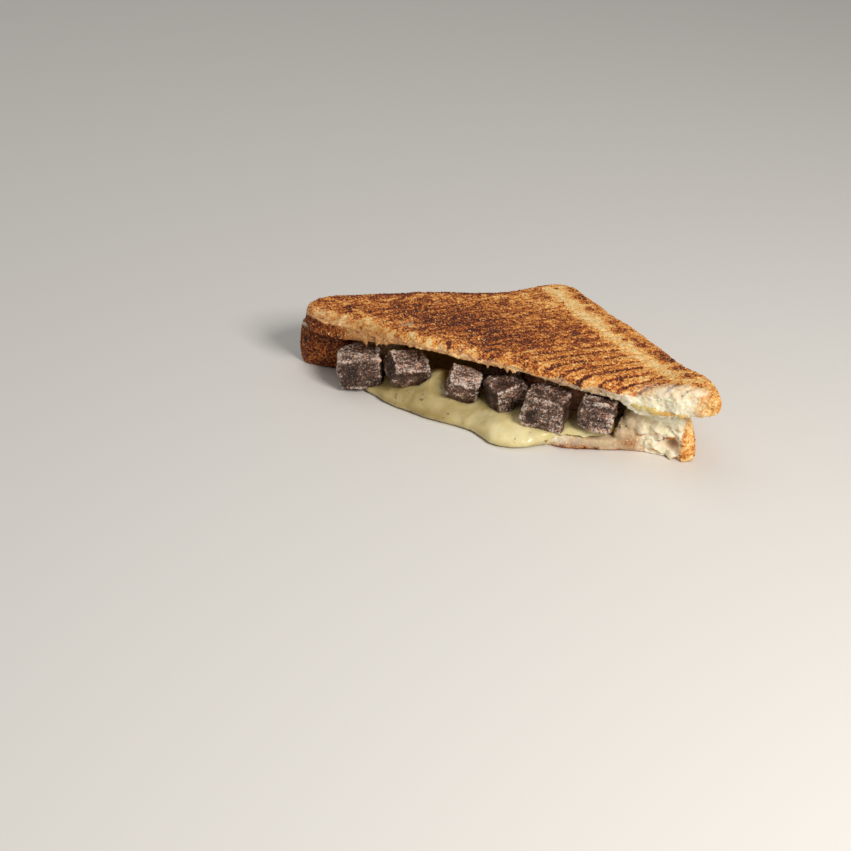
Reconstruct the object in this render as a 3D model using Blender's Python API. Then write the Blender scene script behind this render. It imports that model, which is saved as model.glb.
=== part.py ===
"""Half of a toasted cheese and beef sandwich, cut corner to corner and laid flat.

The cut runs along X, the square corner of the bread points to +Y, and the lower slice
lies flat at Z = 0.  Two pressed slices pinch together along their crusts and gape along
the cut, where melted cheese runs out over the lower slice and cubes of beef look out.
"""
import math

import bmesh
import bpy
from mathutils import Euler, Vector, noise
from mathutils.geometry import delaunay_2d_cdt

MM = 0.001

# ---------------------------------------------------------------- driving dimensions
LOAF_SIDE = 124 * MM                  # side of the square slice before the cut
TIP_RADIUS = 18 * MM                  # rounded loaf corners at the two ends of the cut
BACK_RADIUS = 10 * MM                 # rounded loaf corner opposite the cut
PRESSED_THICKNESS = 9.5 * MM          # one slice, toasted and pressed
CUT_MIDDLE = Vector((4.7 * MM, -34.25 * MM, 0.0))  # middle of the cut, from the origin
CLEARANCE = 0.3 * MM                  # gap between pieces that touch

TOP_AT_CUT = 28 * MM                  # height of the toasted top above the board, at the cut
TOP_FALL = 0.087                      # slope by which the top falls towards the back
PUFF_HEIGHT = 4.2 * MM                # the right end escaped the press and stands proud
SEAM = 1.0 * MM                       # gap between the two rims along the crusts
POCKET_FLOOR = 4.8 * MM               # top of the lower slice under the filling
CHEESE_LEVEL = 7.9 * MM               # top of the cheese under the meat

GRAIN_SIZE = 5.5 * MM                 # wavelength of the torn crumb's crags
TORN_DEPTH = 1.1 * MM                 # how far the crags of a cut face stand in and out
ROUGH_END = 1.3                       # how much deeper they are where the right end tore

# Underside of the upper slice along the cut: (place along the cut, height).
UPPER_LIP = ((-84, 19.8), (-66, 19.2), (-52, 20.8), (-34, 23.2), (-14, 22.8), (6, 23.8),
             (29, 21.9), (41, 22.2), (50, 17.9), (57, 19.2), (65, 21.3), (79, 24.4))
# Plan of the upper slice against the ideal cut slice: (x, y), width, swelling.
UPPER_SWELLINGS = (((-76, 23), 19, 8.0), ((-54, 41), 17, 5.2), ((-25, 61), 9, -1.6),
                   ((-9, 82), 13, 3.6), ((6, 80), 11, -4.6), ((20, 65), 10, -2.2),
                   ((50, 41), 16, 1.0), ((79, 6), 9, -2.4))
LOWER_SWELLINGS = (((-76, 20), 16, 4.0), ((-30, 56), 14, -1.5), ((40, 44), 24, -1.5))
LEFT_TIP_SHIFT = -8.0 * MM            # the lower slice slid under the upper one
RIGHT_TIP_SHIFT = -7.5 * MM
RIGHT_TIP_LEAN = -7.0 * MM            # its right end leans back over the filling
# Front of the lower slice and of the cheese: (place along the cut, distance behind it).
LOWER_FRONT = ((-90, 6.0), (-69, 9.5), (-56, 9.5), (-44, 5.0), (-22, 2.0), (4, -4.0),
               (24, -5.8), (37, -1.2), (46, 4.0), (54, 6.4), (90, 5.0))
CHEESE_FRONT = ((-66, 10.0), (-58, 0.5), (-50, -3.5), (-40, -7.5), (-24, -9.5),
                (-10, -9.4), (4, -15.0), (12, -13.6), (17, -9.4), (21, -6.0), (26, -4.4),
                (32, -2.6), (38, 1.0), (46, 11.0))
# Cheese squeezed up between and under the beef: (x, y), width, height.
CHEESE_MOUNDS = (((-26.5, 6.0), 7.0, 5.0), ((36.0, 4.0), 9.0, 2.4))

# Beef cubes: centre, edges and turns in degrees, first the row along the cut and then
# those that show in the gaps behind it.
BEEF = (
    ((-57.2, 0.8, 9.2), (16.0, 11.0, 12.4), (6, -8, 24)),
    ((-38.6, 2.2, 12.8), (14.0, 11.0, 7.6), (22, 10, 46)),
    ((-15.8, 1.8, 11.9), (11.2, 9.6, 9.2), (20, 12, 18)),
    ((0.2, 3.4, 13.0), (12.6, 10.4, 10.6), (6, -14, 50)),
    ((17.4, -0.6, 12.9), (14.6, 11.4, 11.8), (4, 3, 6)),
    ((35.4, 2.4, 14.8), (11.8, 10.0, 11.0), (-4, 5, 10)),
    ((-8.0, 15.5, 12.7), (11.4, 9.6, 8.6), (6, -5, 12)),
    ((18.5, 14.8, 12.6), (28.0, 8.6, 10.0), (3, 1, -4)),
)


def clear_scene():
    for thing in list(bpy.data.objects):
        bpy.data.objects.remove(thing)


def finish(name, colour, roughness):
    """A plain opaque material of one colour."""
    material = bpy.data.materials.new(name)
    material.use_nodes = True
    shader = material.node_tree.nodes["Principled BSDF"]
    shader.inputs["Base Color"].default_value = (*colour, 1.0)
    shader.inputs["Roughness"].default_value = roughness
    shader.inputs["Metallic"].default_value = 0.0
    return material


# ---------------------------------------------------------------- curves and fields
def smooth(low, high, value):
    """0 below low, 1 above high, and an even S between them."""
    share = min(max((value - low) / (high - low), 0.0), 1.0)
    return share * share * (3.0 - 2.0 * share)


def blend(first, second, share):
    return first + (second - first) * share


def along_cut(stations, x):
    """Height or distance at a place along the cut, eased between the stations."""
    if x <= stations[0][0] * MM:
        return stations[0][1] * MM
    for (x_a, value_a), (x_b, value_b) in zip(stations, stations[1:]):
        if x <= x_b * MM:
            return blend(value_a, value_b, smooth(x_a * MM, x_b * MM, x)) * MM
    return stations[-1][1] * MM


def ripple(x, y, size, seed):
    """Smooth unevenness between -1 and 1 with bumps of the given size."""
    return noise.noise(Vector((x / size, y / size, seed)))


def bumps(point, places):
    """Sum of round bumps at a point, each given by its middle, width and height."""
    total = 0.0
    for middle, width, height in places:
        away = (point / MM - Vector(middle)).length / width
        total += height * MM * math.exp(-away * away)
    return total


def crust_depth(x, y):
    """How far a point lies inside the two crust sides of the ideal slice."""
    return (LOAF_SIDE / math.sqrt(2) - abs(x) - y) / math.sqrt(2)


def upper_top(x, y):
    """Toasted face: pressed nearly flat, falling to the back, puffed at the right end."""
    puff = smooth(46 * MM, 68 * MM, x) * (1.0 - smooth(14 * MM, 44 * MM, y))
    left_lift = 1.2 * MM * (1.0 - smooth(-84 * MM, -70 * MM, x))
    uneven = 0.45 * MM * ripple(x, y, 17 * MM, 2.0)
    return TOP_AT_CUT - TOP_FALL * y + PUFF_HEIGHT * puff + left_lift + uneven


def upper_bottom(x, y):
    """Thin lip at the cut, full pressed thickness further in."""
    inside = upper_top(x, y) - PRESSED_THICKNESS
    return blend(along_cut(UPPER_LIP, x), inside, smooth(6 * MM, 27 * MM, y))


def pocket(x, y):
    """1 where the filling parts the slices, 0 where their rims pinch together."""
    left_end = smooth(-74 * MM, -66 * MM, x)
    right_end = 1.0 - smooth(43 * MM, 50 * MM, x)
    return left_end * right_end * smooth(3 * MM, 12 * MM, crust_depth(x, y))


def lower_top(x, y):
    rim = upper_bottom(x, y) - SEAM
    floor = POCKET_FLOOR + 4 * MM * smooth(18 * MM, 50 * MM, y)
    return blend(rim, floor, pocket(x, y)) + 0.25 * MM * ripple(x, y, 11 * MM, 7.0)


def cheese_top(x, y):
    """Rounded apron in front of the bread, level under the meat, full height behind it."""
    reach = y - along_cut(CHEESE_FRONT, x)
    edge = blend(3.4 * MM, 6.6 * MM, smooth(12 * MM, 21 * MM, x))
    apron = blend(edge, CHEESE_LEVEL, smooth(0.0, 12 * MM, reach))
    apron += 0.5 * MM * ripple(x, y, 12 * MM, 4.0)
    apron += bumps(Vector((x, y)), CHEESE_MOUNDS)
    full = upper_bottom(x, y) - 0.6 * MM
    return min(blend(apron, full, smooth(20 * MM, 33 * MM, y)), full)


# ---------------------------------------------------------------- slab construction
def stretch_points(curve, length, step):
    """Even points on a curve given for shares 0 to 1, without its last point."""
    count = max(2, round(length / step))
    return [curve(index / count) for index in range(count)]


def line(start, end):
    start = Vector(start)
    end = Vector(end)
    return lambda share: start.lerp(end, share), (end - start).length


def arc(centre, radius, first, last):
    """Arc of a circle between two directions in degrees."""
    def curve(share):
        turn = math.radians(blend(first, last, share))
        return Vector(centre) + radius * Vector((math.cos(turn), math.sin(turn)))
    return curve, radius * math.radians(abs(last - first))


def half_slice_plan(step):
    """Points round a square slice cut corner to corner; crust is 1, the cut is 0."""
    reach = LOAF_SIDE / math.sqrt(2)
    tip = reach - math.sqrt(2) * TIP_RADIUS
    back = reach - math.sqrt(2) * BACK_RADIUS
    slope = math.sqrt(0.5)
    tip_end = (tip + slope * TIP_RADIUS, slope * TIP_RADIUS)
    back_end = (slope * BACK_RADIUS, back + slope * BACK_RADIUS)
    stretches = (
        (line((-tip - TIP_RADIUS, 0), (tip + TIP_RADIUS, 0)), 0.0),
        (arc((tip, 0), TIP_RADIUS, 0, 45), 1.0),
        (line(tip_end, back_end), 1.0),
        (arc((0, back), BACK_RADIUS, 45, 135), 1.0),
        (line((-back_end[0], back_end[1]), (-tip_end[0], tip_end[1])), 1.0),
        (arc((-tip, 0), TIP_RADIUS, 135, 180), 1.0),
    )
    plan = []
    for (curve, length), crust in stretches:
        plan += [(point, crust) for point in stretch_points(curve, length, step)]
    return plan


def outward(points):
    """Unit normals of a closed anticlockwise plan, one a point."""
    normals = []
    for index in range(len(points)):
        chord = points[(index + 1) % len(points)] - points[index - 1]
        normals.append(Vector((chord.y, -chord.x)).normalized())
    return normals


def swell(points, swellings):
    """Moves a plan in or out near the given places."""
    return [point + normal * bumps(point, swellings)
            for point, normal in zip(points, outward(points))]


def soften(plan, passes):
    """Evens out a closed plan's corners and the change from cut to crust."""
    for _ in range(passes):
        eased = []
        for index, (point, crust) in enumerate(plan):
            before, crust_before = plan[index - 1]
            after, crust_after = plan[(index + 1) % len(plan)]
            eased.append((0.5 * point + 0.25 * (before + after),
                          0.5 * crust + 0.25 * (crust_before + crust_after)))
        plan = eased
    return plan


def inner_lattice(border, spacing):
    """Even triangular lattice of points well inside a closed plan."""
    low = Vector((min(p.x for p in border), min(p.y for p in border)))
    high = Vector((max(p.x for p in border), max(p.y for p in border)))
    row_height = spacing * math.sqrt(0.75)
    inside = []
    rows = int((high.y - low.y) / row_height) + 1
    columns = int((high.x - low.x) / spacing) + 1
    for row in range(rows):
        for column in range(columns):
            x = low.x + spacing * (column + 0.5 * (row % 2))
            point = Vector((x, low.y + row_height * (row + 0.5)))
            if is_inside(point, border) and nearest(point, border) > 0.55 * spacing:
                inside.append(point)
    return inside


def is_inside(point, border):
    crossings = 0
    for index, end in enumerate(border):
        start = border[index - 1]
        if (start.y > point.y) != (end.y > point.y):
            share = (point.y - start.y) / (end.y - start.y)
            crossings += point.x < blend(start.x, end.x, share)
    return crossings % 2 == 1


def nearest(point, border):
    return min((point - corner).length for corner in border)


def add_skin(mesh, rim, spacing, height, facing_up):
    """Closes a rim of vertices with a triangulated skin that follows a height."""
    border = [vertex.co.to_2d() for vertex in rim]
    inner = inner_lattice(border, spacing) if spacing else []
    loop = list(range(len(border)))
    points, _, faces, origins, _, _ = delaunay_2d_cdt(border + inner, [], [loop], 1, 1e-7)
    vertices = []
    for point, origin in zip(points, origins):
        if origin and origin[0] < len(rim):
            vertices.append(rim[origin[0]])
        else:
            vertices.append(mesh.verts.new((point.x, point.y, height(point.x, point.y))))
    for face in faces:
        corners = [vertices[index] for index in face]
        mesh.faces.new(corners if facing_up else corners[::-1])


def slab(name, plan, bottom, top, rounding, rings, spacings, tear, grow=0.0, lean=None):
    """Closed slab over a plan, between two heights, with rounded or torn sides.

    plan holds points and crust shares, rounding gives the side's rounding radius for a
    crust share, spacings are the lattice spacings of the bottom and top skins (0 leaves
    a skin flat), tear is the depth of crags on the cut, grow swells the whole slab, and
    lean gives how far its upper rim is shifted along the cut.
    """
    points = [point for point, _ in plan]
    normals = outward(points)
    mesh = bmesh.new()
    loops = []
    for ring in range(rings + 1):
        turn = math.pi * (ring / rings - 0.5)
        level = 0.5 + 0.5 * math.sin(turn)
        loop = []
        for (point, crust), normal in zip(plan, normals):
            inset = rounding(crust) * (1.0 - math.cos(turn))
            crag = tear * (1.0 - crust) * math.cos(turn)
            crag *= 1.0 + ROUGH_END * smooth(46 * MM, 54 * MM, point.x)
            inset -= crag * noise.noise(Vector((point.x, point.y, level * 9 * MM)) / GRAIN_SIZE)
            place = point - normal * (inset - grow)
            if lean:
                place.x += level * lean(place.x)
            lowest = bottom(place.x, place.y) - grow
            highest = top(place.x, place.y) + grow
            loop.append(mesh.verts.new((place.x, place.y, blend(lowest, highest, level))))
        loops.append(loop)
    for below, above in zip(loops, loops[1:]):
        for index in range(len(below)):
            mesh.faces.new((below[index - 1], below[index], above[index], above[index - 1]))
    add_skin(mesh, loops[0], spacings[0], lambda x, y: bottom(x, y) - grow, False)
    add_skin(mesh, loops[-1], spacings[1], lambda x, y: top(x, y) + grow, True)
    bmesh.ops.triangulate(mesh, faces=mesh.faces[:])
    bmesh.ops.translate(mesh, verts=mesh.verts[:], vec=CUT_MIDDLE)
    return new_object(name, mesh)


def new_object(name, mesh):
    data = bpy.data.meshes.new(name)
    mesh.to_mesh(data)
    mesh.free()
    piece = bpy.data.objects.new(name, data)
    bpy.context.collection.objects.link(piece)
    return piece


# ---------------------------------------------------------------- the pieces
def make_upper_slice(material):
    plan = half_slice_plan(4.2 * MM)
    moved = swell([point for point, _ in plan], UPPER_SWELLINGS)
    plan = soften([(point, crust) for point, (_, crust) in zip(moved, plan)], 1)
    piece = slab("upper_slice", plan, upper_bottom, upper_top,
                 lambda crust: blend(0.8, 3.0, crust) * MM, 6,
                 (7.5 * MM, 4.6 * MM), TORN_DEPTH)
    piece.data.materials.append(material)
    return piece


def lower_slice_solid(name, grow=0.0):
    """The lower slice, with its front drawn back or dragged out by the cheese."""
    plan = half_slice_plan(4.4 * MM)
    moved = swell([point for point, _ in plan], LOWER_SWELLINGS)
    drawn = []
    for point, (_, crust) in zip(moved, plan):
        follow = 1.0 - smooth(0.0, 34 * MM, point.y)
        shift = LEFT_TIP_SHIFT * (1.0 - smooth(-80 * MM, -50 * MM, point.x))
        shift += RIGHT_TIP_SHIFT * smooth(40 * MM, 80 * MM, point.x)
        x = point.x + follow * shift
        drawn.append((Vector((x, point.y + follow * along_cut(LOWER_FRONT, x))), crust))
    return slab(name, soften(drawn, 2), lambda x, y: 0.0, lower_top,
                lambda crust: blend(1.0, 2.8, crust) * MM, 5,
                (0, 5.4 * MM), TORN_DEPTH, grow,
                lambda x: RIGHT_TIP_LEAN * smooth(48 * MM, 70 * MM, x))


def beef_solid(name, centre, edges, turns, seed, grow=0.0):
    """A cut cube of meat: bowed faces, soft edges and an uneven surface."""
    mesh = bmesh.new()
    bmesh.ops.create_cube(mesh, size=2.0)
    bmesh.ops.subdivide_edges(mesh, edges=mesh.edges[:], cuts=3, use_grid_fill=True)
    half = Vector(edges) * 0.5 * MM
    for vertex in mesh.verts:
        ball = vertex.co.normalized()
        soft = vertex.co.lerp(ball * 1.28, 0.30)
        lump = 1.0 + 0.13 * noise.noise(vertex.co * 0.9 + Vector((seed * 3.7, 0, 0)))
        vertex.co = Vector(soft[axis] * half[axis] * lump for axis in range(3))
        vertex.co += ball * grow
    turned = Euler([math.radians(turn) for turn in turns]).to_matrix()
    bmesh.ops.rotate(mesh, verts=mesh.verts[:], matrix=turned)
    bmesh.ops.translate(mesh, verts=mesh.verts[:], vec=Vector(centre) * MM + CUT_MIDDLE)
    bmesh.ops.triangulate(mesh, faces=mesh.faces[:])
    return new_object(name, mesh)


def make_beef(material):
    for number, (centre, edges, turns) in enumerate(BEEF, start=1):
        piece = beef_solid(f"beef_cube_{number}", centre, edges, turns, number)
        piece.data.materials.append(material)


def cheese_plan(step):
    """Plan of the cheese: its run-out front, then sides well inside the crusts."""
    left = CHEESE_FRONT[0][0] * MM
    right = CHEESE_FRONT[-1][0] * MM
    front_count = round((right - left) / step)
    front = []
    for index in range(front_count):
        x = blend(left, right, index / front_count)
        front.append(Vector((x, along_cut(CHEESE_FRONT, x))))
    apex = (0.0, 74 * MM)
    sides = []
    right_end = (right, along_cut(CHEESE_FRONT, right))
    left_end = (left, along_cut(CHEESE_FRONT, left))
    for curve, length in (line(right_end, apex), line(apex, left_end)):
        sides += stretch_points(curve, length, step)
    return [(point, 1.0) for point in front + sides]


def cut_away(piece, cutter):
    """Leaves room for a neighbour that the soft cheese has flowed round."""
    cutter.hide_render = True
    cutter.display_type = "WIRE"
    room = piece.modifiers.new(cutter.name, "BOOLEAN")
    room.operation = "DIFFERENCE"
    room.solver = "EXACT"
    room.object = cutter


def make_cheese(material):
    piece = slab("cheese", cheese_plan(4.4 * MM), lambda x, y: 0.0, cheese_top,
                 lambda crust: 2.2 * MM, 5, (0, 4.6 * MM), 0.0)
    piece.data.materials.append(material)
    cut_away(piece, lower_slice_solid("room_for_lower_slice", CLEARANCE))
    for number, (centre, edges, turns) in enumerate(BEEF, start=1):
        room = beef_solid(f"room_for_beef_{number}", centre, edges, turns, number, CLEARANCE)
        cut_away(piece, room)


clear_scene()
make_upper_slice(finish("toasted_bread", (0.55, 0.27, 0.09), 0.75))
lower_slice = lower_slice_solid("lower_slice")
lower_slice.data.materials.append(finish("bread_crumb", (0.72, 0.52, 0.28), 0.8))
make_cheese(finish("melted_cheese", (0.83, 0.70, 0.33), 0.35))
make_beef(finish("braised_beef", (0.11, 0.06, 0.05), 0.6))
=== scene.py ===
"""Half of a toasted cheese and beef sandwich, lying flat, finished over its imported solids."""
import math

import bmesh
import bpy
import numpy as np
from mathutils import Euler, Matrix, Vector, noise
from mathutils.bvhtree import BVHTree
from mathutils.kdtree import KDTree


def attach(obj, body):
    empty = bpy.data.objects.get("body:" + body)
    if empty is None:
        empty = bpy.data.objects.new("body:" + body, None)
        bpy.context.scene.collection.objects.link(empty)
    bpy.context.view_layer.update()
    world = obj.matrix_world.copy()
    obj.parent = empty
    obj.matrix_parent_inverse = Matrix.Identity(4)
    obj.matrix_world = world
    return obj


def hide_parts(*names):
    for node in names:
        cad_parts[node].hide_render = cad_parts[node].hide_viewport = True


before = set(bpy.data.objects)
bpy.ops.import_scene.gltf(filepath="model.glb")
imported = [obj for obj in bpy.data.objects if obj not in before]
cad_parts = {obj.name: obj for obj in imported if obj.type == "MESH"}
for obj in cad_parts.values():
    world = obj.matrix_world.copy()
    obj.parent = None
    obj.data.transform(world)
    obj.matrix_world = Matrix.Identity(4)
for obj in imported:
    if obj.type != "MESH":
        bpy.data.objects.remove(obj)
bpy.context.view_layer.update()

# ==== The table, the lamps and the camera ===========================================
# A matt off-white table top under a studio softbox from the right, with a broad weak
# fill.  The camera looks down on the cut from its right-hand end, with a long lens.
FLOOR_SIDE = 3.0
FLOOR_COLOUR = (0.80, 0.78, 0.75, 1.0)
CAMERA_PLACE = (0.154065, -0.461435, 0.275314)
CAMERA_TURNS = (58.467, -2.254, 24.083)
LENS_MM = 61.34
SENSOR_MM = 36.0


def plain_material(name, colour, roughness):
    material = bpy.data.materials.new(name)
    material.use_nodes = True
    shader = material.node_tree.nodes["Principled BSDF"]
    shader.inputs["Base Color"].default_value = colour
    shader.inputs["Roughness"].default_value = roughness
    return material


def softbox(name, place, aim, side, watts, colour):
    """A square studio lamp at a place, turned to face a point."""
    lamp = bpy.data.lights.new(name, "AREA")
    lamp.size = side
    lamp.energy = watts
    lamp.color = colour
    stand = bpy.data.objects.new(name, lamp)
    stand.location = place
    stand.rotation_euler = (Vector(aim) - Vector(place)).to_track_quat("-Z", "Y").to_euler()
    bpy.context.scene.collection.objects.link(stand)


floor_mesh = bpy.data.meshes.new("table_top")
corner = FLOOR_SIDE / 2
floor_mesh.from_pydata([(-corner, -corner, 0), (corner, -corner, 0), (corner, corner, 0),
                        (-corner, corner, 0)], [], [(0, 1, 2, 3)])
table_top = bpy.data.objects.new("table_top", floor_mesh)
table_top.location.z = -0.0001
bpy.context.scene.collection.objects.link(table_top)
floor_mesh.materials.append(plain_material("table_paint", FLOOR_COLOUR, 0.7))

softbox("key_lamp", (0.50, -0.34, 0.50), (0.02, 0.0, 0.02), 0.24, 4.6, (1.0, 0.96, 0.90))
softbox("fill_lamp", (-0.4, 0.1, 1.2), (0.0, 0.0, 0.0), 1.2, 3.6, (1.0, 0.98, 0.95))

world = bpy.data.worlds.new("studio")
world.use_nodes = True
world.node_tree.nodes["Background"].inputs["Color"].default_value = (1.0, 0.99, 0.97, 1.0)
world.node_tree.nodes["Background"].inputs["Strength"].default_value = 0.20
bpy.context.scene.world = world
bpy.context.scene.view_settings.view_transform = "Standard"

camera_data = bpy.data.cameras.new("camera")
camera_data.lens = LENS_MM
camera_data.sensor_width = SENSOR_MM
camera = bpy.data.objects.new("camera", camera_data)
camera.location = CAMERA_PLACE
camera.rotation_euler = [math.radians(turn) for turn in CAMERA_TURNS]
bpy.context.scene.collection.objects.link(camera)
bpy.context.scene.camera = camera

# ==== The upper slice ===============================================================
# White sandwich bread, pressed on a ridged grill: the face is fried brown and striped
# where the ridges pressed, paler along its crust, and the cut shows torn cream crumb.
CUT_MIDDLE = Vector((0.0047, -0.03425, 0.0))   # metres from the part's origin
CUT_REACH = 92                                 # mm from there to past either end of the cut
BREAD_GRAIN = 0.00035                          # side of the bread's mesh faces, in metres
STRIPE_SPACING = 5.4                           # mm between the marks of the grill's ridges
STRIPE_TURN = math.radians(50)                 # direction of the marks from the cut
SHUT_PORES = 0.35                              # share of the crumb's pores that stay shut
PORE_WARP = 0.0012                             # how far a pore's edge strays, in metres
# Heights of the bread's relief and the size of its pores, in metres.
RELIEF = (("Toast depth", 0.00040), ("Crumb depth", 0.00028), ("Groove depth", 0.00045),
          ("Pore size", 0.0014))
# Burnt spots along the rim and charred specks: place along and behind the cut, size, all
# in mm, and for the spots how much darker they are.
BURNT_SPOTS = (((-1.0, 76.4), 2.6, 0.22), ((3.8, 71.4), 3.0, 0.44), ((8.0, 67.6), 2.4, 0.32),
               ((12.1, 62.4), 3.0, 0.42), ((17.6, 59.0), 2.6, 0.28), ((22.8, 54.0), 2.8, 0.40),
               ((27.8, 48.2), 3.3, 0.58), ((34.4, 43.8), 2.7, 0.42), ((39.3, 39.2), 3.3, 0.50),
               ((45.8, 34.7), 3.2, 0.52), ((51.0, 30.9), 3.2, 0.52), ((57.0, 23.3), 3.1, 0.44),
               ((62.2, 15.0), 3.2, 0.42), ((67.8, 7.4), 2.2, 0.30), ((72.0, 2.0), 1.5, 0.18),
               ((-50.0, 22.5), 3.2, 0.14), ((-64.0, 23.0), 3.0, 0.14), ((-66.0, 9.5), 3.4, 0.12),
               ((29.4, 1.6), 2.4, 0.10), ((17.3, 2.6), 3.0, 0.12), ((21.0, 31.1), 2.2, 0.19),
               ((7.4, 25.3), 3.0, 0.12), ((10.1, 14.5), 3.4, 0.14), ((14.5, 35.4), 2.2, 0.14))
CHARRED_SPECKS = (((-6.7, 74.6), 0.8), ((0.3, 61.7), 0.6), ((32.0, 40.7), 0.9), ((41.2, 5.4), 0.8),
                  ((52.8, 12.6), 0.6), ((-14.1, 5.9), 0.9), ((-22.4, 1.8), 0.8), ((-22.0, 0.6), 0.6))


def solid_copy(node, name):
    """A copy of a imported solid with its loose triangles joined."""
    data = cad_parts[node].data.copy()
    shell = bmesh.new()
    shell.from_mesh(data)
    bmesh.ops.remove_doubles(shell, verts=shell.verts[:], dist=0.00001)
    bmesh.ops.recalc_face_normals(shell, faces=shell.faces[:])
    shell.to_mesh(data)
    shell.free()
    data.name = name
    data.materials.clear()
    for attribute in [a.name for a in data.attributes if not a.is_required]:
        data.attributes.remove(data.attributes[attribute])
    piece = bpy.data.objects.new(name, data)
    bpy.context.scene.collection.objects.link(piece)
    return piece


def apply_modifiers(piece):
    """Turns a piece's modifiers into its plain mesh."""
    evaluated = piece.evaluated_get(bpy.context.evaluated_depsgraph_get())
    mesh = bpy.data.meshes.new_from_object(evaluated)
    piece.modifiers.clear()
    piece.data = mesh
    mesh.shade_smooth()


def refine(piece, grain, smoothing):
    """Remeshes a piece finely and evenly and rounds off its facets."""
    remesh = piece.modifiers.new("fine_mesh", "REMESH")
    remesh.mode = "VOXEL"
    remesh.voxel_size = grain
    ease = piece.modifiers.new("rounding", "SMOOTH")
    ease.factor = 0.5
    ease.iterations = smoothing
    apply_modifiers(piece)


def read_points(mesh):
    """Vertex places along, behind and above the cut's middle in mm, and the normals."""
    places = np.empty(len(mesh.vertices) * 3)
    mesh.vertices.foreach_get("co", places)
    normals = np.empty(len(mesh.vertices) * 3)
    mesh.vertices.foreach_get("normal", normals)
    places = (places.reshape(-1, 3) - np.array(CUT_MIDDLE)) * 1000
    return places, normals.reshape(-1, 3)


def store(mesh, name, values):
    attribute = mesh.attributes.new(name, "FLOAT", "POINT")
    attribute.data.foreach_set("value", np.ascontiguousarray(values, dtype=np.float32))


def ramp(low, high, values):
    """0 at low, 1 at high, with an even S between them."""
    share = np.clip((values - low) / (high - low), 0.0, 1.0)
    return share * share * (3.0 - 2.0 * share)


def blob(x, y, middle, reach):
    return np.exp(-((x - middle[0]) / reach[0]) ** 2 - ((y - middle[1]) / reach[1]) ** 2)


def mottle(places, size, seed, octaves=2):
    """Cloudy unevenness between about -1 and 1, with patches of a size in mm."""
    shift = Vector((seed * 7.3, seed * 3.1, seed * 5.7))
    return np.array([noise.fractal(Vector(place) / size + shift, 1.0, 2.0, octaves)
                     for place in places])


def rim_distance(places, rim):
    """Distance in plan from every place to the nearest of the rim's places."""
    tree = KDTree(len(rim))
    for index, place in enumerate(rim):
        tree.insert((place[0], place[1], 0.0), index)
    tree.balance()
    return np.array([tree.find((place[0], place[1], 0.0))[2] for place in places])


def cut_edges(places, normals):
    """Heights of the cut side's upper and lower edges, at every millimetre along it."""
    side = (places[:, 1] < 3.0) & (np.abs(normals[:, 2]) < 0.6) & (normals[:, 1] < -0.3)
    stations = np.arange(-CUT_REACH, CUT_REACH + 1)
    columns = np.clip(np.round(places[side, 0]).astype(int) + CUT_REACH, 0, 2 * CUT_REACH)
    upper_edge = np.full(len(stations), -np.inf)
    lower_edge = np.full(len(stations), np.inf)
    np.maximum.at(upper_edge, columns, places[side, 2])
    np.minimum.at(lower_edge, columns, places[side, 2])
    known = np.isfinite(upper_edge)
    even = np.ones(5) / 5
    upper_edge = np.interp(stations, stations[known], upper_edge[known])
    lower_edge = np.interp(stations, stations[known], lower_edge[known])
    return stations, np.convolve(upper_edge, even, "same"), np.convolve(lower_edge, even, "same")


def move_to(mesh, places):
    """Puts a mesh's vertices at places given in mm from the cut's middle."""
    mesh.vertices.foreach_set("co", (places / 1000 + np.array(CUT_MIDDLE)).ravel())
    mesh.update()


def math_node(tree, operation, *values):
    """A maths node on numbers and on what other nodes give."""
    step = tree.nodes.new("ShaderNodeMath")
    step.operation = operation
    for socket, value in zip(step.inputs, values):
        if isinstance(value, float):
            socket.default_value = value
        else:
            tree.links.new(value, socket)
    return step.outputs[0]


def noise_node(tree, place, scale, detail, rough=0.5):
    """Cloudy noise between 0 and 1, the finer the higher its scale."""
    texture = tree.nodes.new("ShaderNodeTexNoise")
    tree.links.new(place, texture.inputs["Vector"])
    texture.inputs["Scale"].default_value = scale
    texture.inputs["Detail"].default_value = detail
    texture.inputs["Roughness"].default_value = rough
    return texture.outputs[0]


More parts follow.
